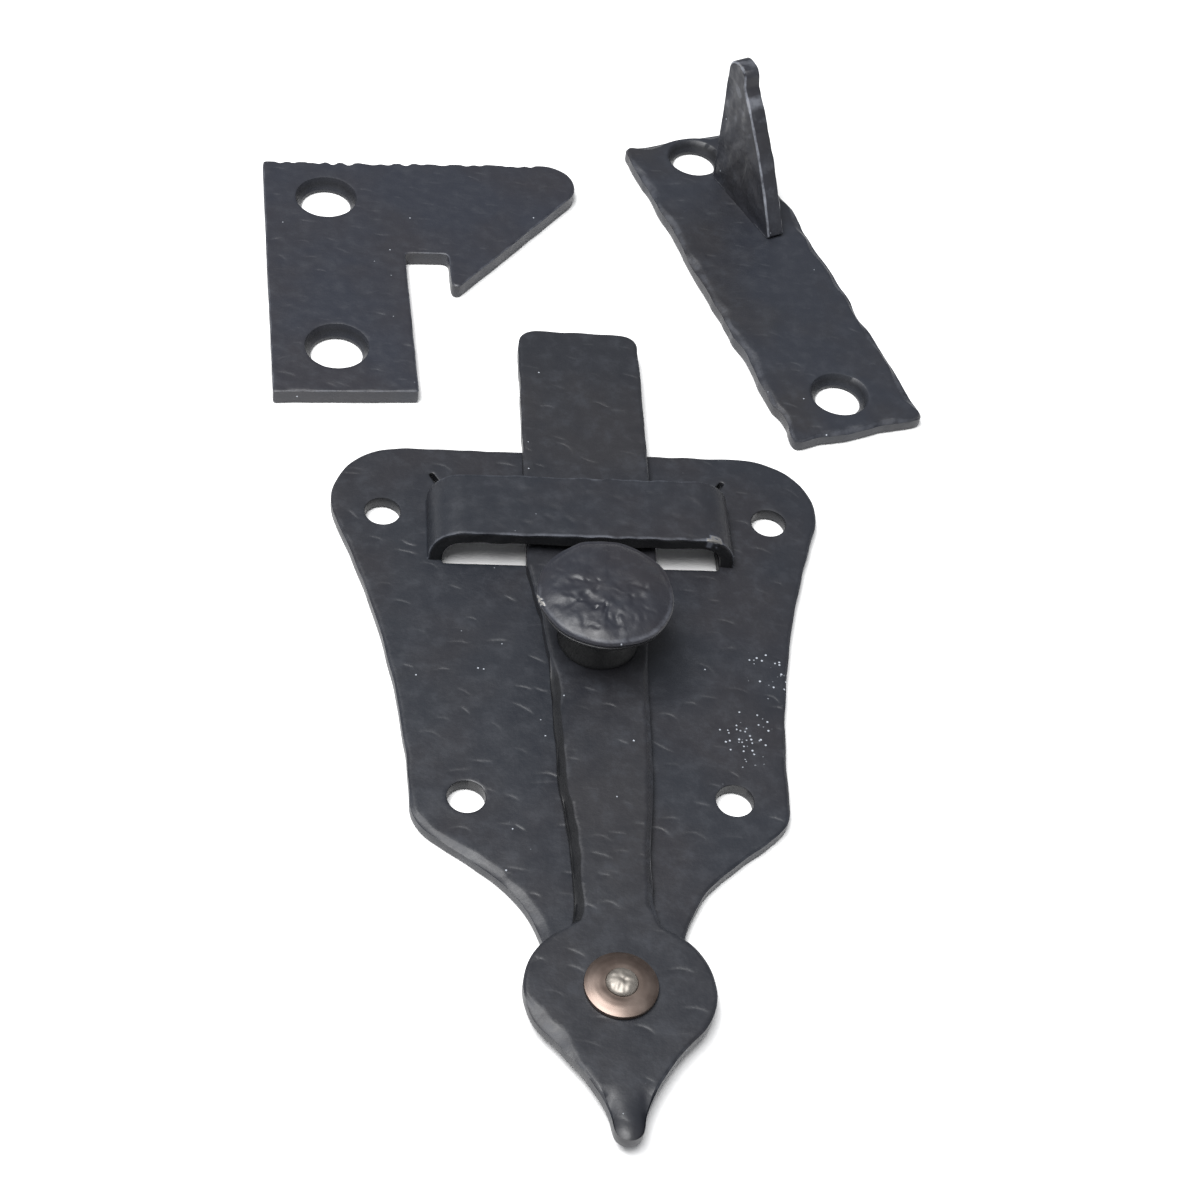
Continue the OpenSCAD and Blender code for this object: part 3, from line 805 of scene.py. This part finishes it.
def bare_steel(name, colour, dark, rough, ring_mm, centre):
    """Bare steel with fine rings about its centre, and a brownish film in uneven patches."""
    finish, shader, here = new_finish(name)
    links = finish.node_tree.links
    shift = (-centre[0] * MM, -centre[1] * MM, 0)
    moved = add(finish, "Mapping", {"Location": shift}, Vector=here).outputs[0]
    turned_rings = {"wave_type": "RINGS", "rings_direction": "Z", "Scale": per_mm(ring_mm) / 6.28}
    rings = add(finish, "TexWave", {**turned_rings, "Distortion": 1.5}, Vector=moved).outputs[1]
    film = add(finish, "TexNoise", {"Scale": per_mm(3.5), "Detail": 3.0}, Vector=here).outputs[0]
    tint = mixed(finish, stretched(finish, film, 0.3, 0.7), dark, colour)
    links.new(tint, shader.inputs["Base Color"])
    shader.inputs["Metallic"].default_value = 1.0
    gloss = add(finish, "MapRange", {1: 0.3, 2: 0.7, 3: rough, 4: rough + 0.12}, i0=film).outputs[0]
    links.new(gloss, shader.inputs["Roughness"])
    bump = add(finish, "Bump", {"Strength": 0.25, "Distance": 0.00002}, Height=rings)
    links.new(bump.outputs[0], shader.inputs["Normal"])
    return finish


washer_steel = bare_steel("Bare_pressed_steel", "#82766f", "#6c5e57", 0.38, 0.35, (0, pivot_y))
made("dished_keeper_washer", verts, faces, np.zeros(len(verts)), washer_steel, "plate",
     "dished_washer")


# ---- Pivot rivet --------------------------------------------------------------------------
# A countersunk steel rivet: its head sits flush in the back of the plate, and its end was
# hammered over the washer into a small uneven button, bright where it was struck.

rivet_r = 1.8
button = box_of("pivot_rivet")[1, 2]
t = np.linspace(0, 1, 12)
rows = np.concatenate([
    [[0, 0], [3.2, 0], [3.3, 0.05], [rivet_r, 0.98], [rivet_r, washer_high[2] - 0.05]],
    np.stack([rivet_r * np.cos(t * 1.55), washer_high[2] + (button - washer_high[2]) * np.sin(t * 1.55)], 1),
    [[0, button]],
])
verts, faces = turned(rows, 96)
top = verts[:, 2] > washer_high[2] + 0.05
pit_at = np.array([[0.25, -0.1], [-0.5, 0.5], [0.6, 0.6], [-0.4, -0.7]])
pits = hollows(verts, pit_at, 0.38, np.array([0.14, 0.1, 0.07, 0.08]))
verts[:, 2] -= top * (pits + 0.03 * (1 + swell(verts, 0.9, 81)))
verts = placed(verts, (0, pivot_y), 0)
rivet_steel = bare_steel("Bare_hammered_rivet_steel", "#a7a29b", "#8f8982", 0.52, 0.5, (0, pivot_y))
made("pivot_rivet_button", verts, faces, np.zeros(len(verts)), rivet_steel, "plate",
     "pivot_rivet")


# ---- Hook catch ---------------------------------------------------------------------------
# The flat catch: 2.2 mm sheet with a notch that the bar drops into, and a slanted nose that
# lifts the bar as the door shuts. Two countersunk screws hold its leg to the jamb.

hook_t = box_of("hook_catch")[1, 2]
hook_turn = 3
leg_w = 19.7
leg_h = 48.5
hook_reach = 46.1
notch_w = 6.2
notch_top = 28.3
notch_depth = 7
hook_hole_y = 9
hook_span = mounts["hook_catch_screws"]["dims"]["pcd_mm"]
hook_bore = mounts["hook_catch_screws"]["dims"]["hole_r_mm"]
hook_sink = 4.5
barb_r = 0.8
nose_r = 4.6
hook_hole_x = leg_w / 2 - 0.85


def hook_shape():
    """The hook's outline from its leg's foot: leg, notch, barb, a straight slant, and the nose."""
    barb = np.array([leg_w + notch_w + barb_r, notch_top - notch_depth + barb_r])
    nose = np.array([hook_reach - nose_r, leg_h - nose_r])
    run = nose - barb
    slant = math.degrees(math.atan2(run[1], run[0]) - math.asin((nose_r - barb_r) / math.hypot(*run)))
    return np.concatenate([
        [[0, 0], [leg_w, 0], [leg_w, notch_top]],
        arc(barb[0] - 2 * barb_r, notch_top - barb_r, barb_r, 90, 0),
        arc(*barb, barb_r, 180, 270 + slant),
        arc(*nose, nose_r, slant - 90, 90),
        [[0, leg_h]],
    ])


hook_marks = struck((0, 0), (46, 49), 3.4, 91, 0.06, 1.0, -4)


def hook_face(p):
    """Height of the hook's front: a fine wavy texture and a few crescents."""
    waves = 0.022 * (1.4 + swell(p, 2.6, 93)) + 0.02 * (1.2 + swell(p, 7, 94))
    return hook_t - hammer_marks(p, hook_marks) - waves


def sunk_edge(bore_r, sink_r, t, land=0.5):
    """Rows of a countersunk hole's wall: a short bore, then a cone to the front face, painted darker as
    shade.
    """
    flare = sink_r - bore_r
    return [
        (0.1, 0, 0), (0, 0.1, -0.3), (0, land - 0.05, -0.5), (0.04, land + 0.02, -0.3),
        (flare * 0.5, land + (t - land) * 0.5, -0.7), (flare - 0.06, t - 0.08, -0.3), (flare + 0.14, t, 0),
    ]


# Its far edge is ragged, as a chisel left it.
outline = walked(hook_shape(), soft=0.28)
far_edge = near_line(outline, (0, leg_h), (40, leg_h), 1.5)
ragged = 0.26 * far_edge * np.clip(0.6 + swell(outline, 2.4, 95), 0, 2)
outline = outline - outward(outline) * ragged[:, None]
loops = [outline]
edges = [forged_edge(outline, hook_t, 0.22, 0.14, 0.6, 96, 0.04, 0.1)]
for y in (hook_hole_y, hook_hole_y + hook_span):
    loops.append(walked(arc(hook_hole_x, y, hook_bore, 0, 355, 72), 0.25, 0.1, hole=True))
    edges.append(sunk_edge(hook_bore, hook_sink, hook_t))
verts, faces, wear_and_painted_light = sheet(loops, edges, hook_face, flat_back, extra=lips(hook_marks))
middle = np.array([[hook_hole_x, hook_hole_y + hook_span / 2, 0]])
hook_spot = np.array(mounts["hook_catch_screws"]["pos_m"][:2]) / MM - placed(middle, (0, 0), hook_turn)[0, :2]
verts = placed(verts, hook_spot, hook_turn)
hook_coat = coated_iron(
    "Satin_black_coat_on_cut_sheet", cool="#23262f", warm="#25252b", relief=1.4, specks=0.5
)
made("flat_hook_catch", verts, faces, wear_and_painted_light, hook_coat, "hook", "hook_catch")


# ---- Fin catch base -----------------------------------------------------------------------
# The base of the upstanding catch: a strip of 2 mm steel with edges beaten in all round. Two
# countersunk screws hold it to the door's edge or frame, and the blade is tenoned through it.

base_t = box_of("fin_base")[1, 2]
fin_turn = 17.2
base_w = 20
base_h = 65
fin_hole_y = 7.2
fin_span = mounts["fin_catch_screws"]["dims"]["pcd_mm"]
fin_bore = mounts["fin_catch_screws"]["dims"]["hole_r_mm"]
fin_sink = 4.2
blade_turn = 8.8
blade_at = np.array([13.3, 39.7])
blade_l = 16
blade_t = 2.8
tenon_l = 8

middle = np.array([[base_w / 2, fin_hole_y + fin_span / 2, 0]])
fin_spot = np.array(mounts["fin_catch_screws"]["pos_m"][:2]) / MM - placed(middle, (0, 0), fin_turn)[0, :2]
base_marks = struck((0, 0), (20, 65), 4.0, 101, 0.08, 1.0)


def base_face(p):
    """Height of the base's front: crescents and broad low facets."""
    return base_t - hammer_marks(p, base_marks) - 0.04 * (1.2 + swell(p, 6, 103))


def beaten_edge(loop, t, seed):
    """A rim struck from above all along: a broad uneven bevel, with scallops between the blows."""
    corners = np.array([[0, 0], [base_w, 0], [base_w, base_h], [0, base_h]])
    square = np.clip(np.linalg.norm(loop[:, None] - corners, axis=2).min(1) / 4, 0.25, 1)
    holes = np.array([[base_w / 2, fin_hole_y], [base_w / 2, fin_hole_y + fin_span]])
    room = np.linalg.norm(loop[:, None] - holes, axis=2).min(1) - fin_sink
    square = square * np.clip((room - 0.2) / 2, 0.15, 1)
    blow = 0.26 * square * np.clip(swell(loop, 9, seed), -0.3, 1.4)
    bevel = square * (0.9 + 0.4 * np.clip(swell(loop, 8, seed + 1), -1, 1))
    drop = 0.42 + 0.16 * np.clip(swell(loop, 8, seed + 2), -1, 1)
    rows = forged_edge(loop, t, bevel, drop, 0.4, seed + 3, 0.1 * square, pace=7)
    return [(inset + blow, height, rub_and_highlight) for inset, height, rub_and_highlight in rows]


outline = walked([[0, 0], [base_w, 0], [base_w, base_h], [0, base_h]], soft=0.9)
loops = [outline]
edges = [beaten_edge(outline, base_t, 111)]
for y in (fin_hole_y, fin_hole_y + fin_span):
    loops.append(walked(arc(base_w / 2, y, fin_bore, 0, 355, 72), 0.25, 0.1, hole=True))
    edges.append(sunk_edge(fin_bore, fin_sink, base_t))
mortise = np.array([[0, 0, 0], [blade_t, 0, 0], [blade_t, tenon_l, 0], [0, tenon_l, 0]])
mortise = mortise + [0, (blade_l - tenon_l) / 2, 0]
loops.append(walked(placed(mortise, blade_at, blade_turn)[:, :2], 0.2, 0.06, hole=True))
edges.append(bore_edge(base_t, 0.04))
verts, faces, wear_and_painted_light = sheet(loops, edges, base_face, flat_back, extra=lips(base_marks))
verts = placed(verts, fin_spot, fin_turn)
base_coat = coated_iron("Satin_black_coat_on_beaten_strip", cool="#22252d", warm="#242428", specks=0.6)
made("fin_catch_foot", verts, faces, wear_and_painted_light, base_coat, "fin", "fin_base")


# ---- Fin blade ----------------------------------------------------------------------------
# A 2.8 mm blade with a straight back and a sloping front edge, which the latch bar rides over.
# Its sides show long hammer strokes down their length, and its foot is tenoned into the base.

blade_h = box_of("fin_blade")[1, 2] - base_t
blade_lean = math.tan(math.radians(4))
blade_top_r = 2.1
blade_top_w = 0.5
undercut = 0.4


def blade_shape():
    """The blade seen from its side: x runs along its foot, from the sloping edge to the back one."""
    back = blade_l + blade_h * blade_lean
    top = back - blade_top_r - 0.3
    rise = blade_h - blade_top_r
    t = np.linspace(0, 1, 30)[1:-1]
    across = (top - blade_top_r * 0.8 - blade_top_w) * (t - 0.3 * t * (1 - t))
    slope = np.stack([across, undercut + (rise - undercut) * t], 1)
    tenon = (blade_l + tenon_l) / 2, (blade_l - tenon_l) / 2
    return np.concatenate([
        [[undercut, 0], [0, undercut]],
        slope,
        arc(top - blade_top_w, rise, blade_top_r, 150, 90),
        arc(top, rise, blade_top_r, 90, 0),
        [[blade_l, 0]],
        [[tenon[0], 0], [tenon[0], -base_t], [tenon[1], -base_t], [tenon[1], 0]],
    ])


def blade_strokes(p, seed):
    """Depth of the long strokes: a swell drawn out along the blade, over a finer one."""
    drawn = p * [1.0, 0.35]
    long_strokes = 0.11 * np.clip(0.6 + swell(drawn, 2.4, seed), 0, 2.2)
    return long_strokes + 0.03 * np.clip(1 + swell(p, 1.5, seed + 1), 0, 2)


def on_body(p):
    """1 on the blade above its foot, 0 on the tenon."""
    return np.clip(p[:, 1] / 0.6, 0, 1)


outline = walked(blade_shape(), 0.28, 0.2)
bevel = 0.1 + 0.26 * on_body(outline)
drop = 0.05 + 0.2 * on_body(outline)
# Its rim lightens more than the other pieces', partly rubbed and partly a painted highlight along the crease.
rows = forged_edge(outline, blade_t, bevel, drop, 1.1, 121, 0.03, 0.05)
lower = [(inset, blade_t - height, rub_and_highlight) for inset, height, rub_and_highlight in rows[:3:-1]]
verts, faces, wear_and_painted_light = sheet(
    [outline], [lower + rows[4:]],
    lambda p: blade_t - blade_strokes(p, 122) * on_body(p) - 0.01,
    lambda p: blade_strokes(p, 124) * on_body(p) + 0.01,
    0.34, 0.34,
)
# Pale blotches on the upper part of the blade's faces are painted highlights.
wear_and_painted_light = wear_and_painted_light + 0.4 * np.clip(swell(verts, 2.6, 126), 0, 1) * np.clip((verts[:, 1] - 5) / 10, 0, 1)
verts = verts[:, [2, 0, 1]] + [0, 0, base_t]
verts = placed(placed(verts, blade_at, blade_turn), fin_spot, fin_turn)
# The paler rub colour is for the painted highlight along the crease as well as for rubbing.
blade_coat = coated_iron(
    "Satin_black_coat_on_a_drawn_blade", cool="#22242c", warm="#252529", rub_and_highlight="#7d8088", relief=1.3
)
made("tenoned_blade", verts, faces, wear_and_painted_light, blade_coat, "fin", "fin_blade")


# ---- Table, light and camera --------------------------------------------------------------
# The pieces lie on a white table under a broad soft light from overhead, to the left and in front.
# Away from the light's reach the table glows faintly, so that low views keep a pale surround.

half = 12.0
table = bpy.data.meshes.new("table")
table.from_pydata(
    [(-half, -half, 0), (half, -half, 0), (half, half, 0), (-half, half, 0)], [], [(0, 1, 2, 3)]
)
finish, shader, here = new_finish("Matt_white_table")
shader.inputs["Base Color"].default_value = linear("#fafafa")
shader.inputs["Roughness"].default_value = 0.9
away = add(finish, "VectorMath", {"operation": "LENGTH"}, i0=here).outputs["Value"]
glow = add(finish, "MapRange", {1: 0.35, 2: 1.1, 4: 0.62}, i0=away).outputs[0]
shader.inputs["Emission Color"].default_value = (1, 1, 1, 1)
finish.node_tree.links.new(glow, shader.inputs["Emission Strength"])
table.materials.append(finish)
floor = bpy.data.objects.new("table", table)
bpy.context.collection.objects.link(floor)
floor.location.z = -0.0002


def softbox(name, place, aim, width, height, power):
    """A white rectangular area light at a place, facing a point, both in metres."""
    light = bpy.data.lights.new(name, "AREA")
    light.shape = "RECTANGLE"
    light.size = width
    light.size_y = height
    light.energy = power
    lamp = bpy.data.objects.new(name, light)
    lamp.location = place
    lamp.rotation_euler = (Vector(aim) - Vector(place)).to_track_quat("-Z", "Y").to_euler()
    bpy.context.collection.objects.link(lamp)


softbox("overhead", (-0.26, -0.14, 0.88), (0, 0, 0), 0.8, 0.42, 15.6)
world = bpy.data.worlds.new("pale_room")
bpy.context.scene.world = world
world.use_nodes = True
world.node_tree.nodes["Background"].inputs[0].default_value = (0.95, 0.97, 1.0, 1)
world.node_tree.nodes["Background"].inputs[1].default_value = 0.3
bpy.context.scene.view_settings.view_transform = "Standard"

view_aim = (2.272, -12.856, 0)  # mm
view_distance = 303.97  # mm
view_elevation = 48.50  # degrees, as the two below
view_turn = 11.89
view_roll = 10.50
lens = 71.07

e, a = math.radians(view_elevation), math.radians(view_turn)
forward = Vector((math.cos(e) * math.sin(a), math.cos(e) * math.cos(a), -math.sin(e)))
level = forward.cross(Vector((0, 0, 1))).normalized()
right = Matrix.Rotation(-math.radians(view_roll), 3, forward) @ level
up = right.cross(forward)
camera = bpy.data.objects.new("camera", bpy.data.cameras.new("camera"))
camera.data.lens = lens
camera.data.sensor_width = 36
camera.matrix_world = Matrix((right, up, -forward)).transposed().to_4x4()
camera.location = (Vector(view_aim) - forward * view_distance) * MM
camera.data.clip_start = 0.01
bpy.context.collection.objects.link(camera)
bpy.context.scene.camera = camera
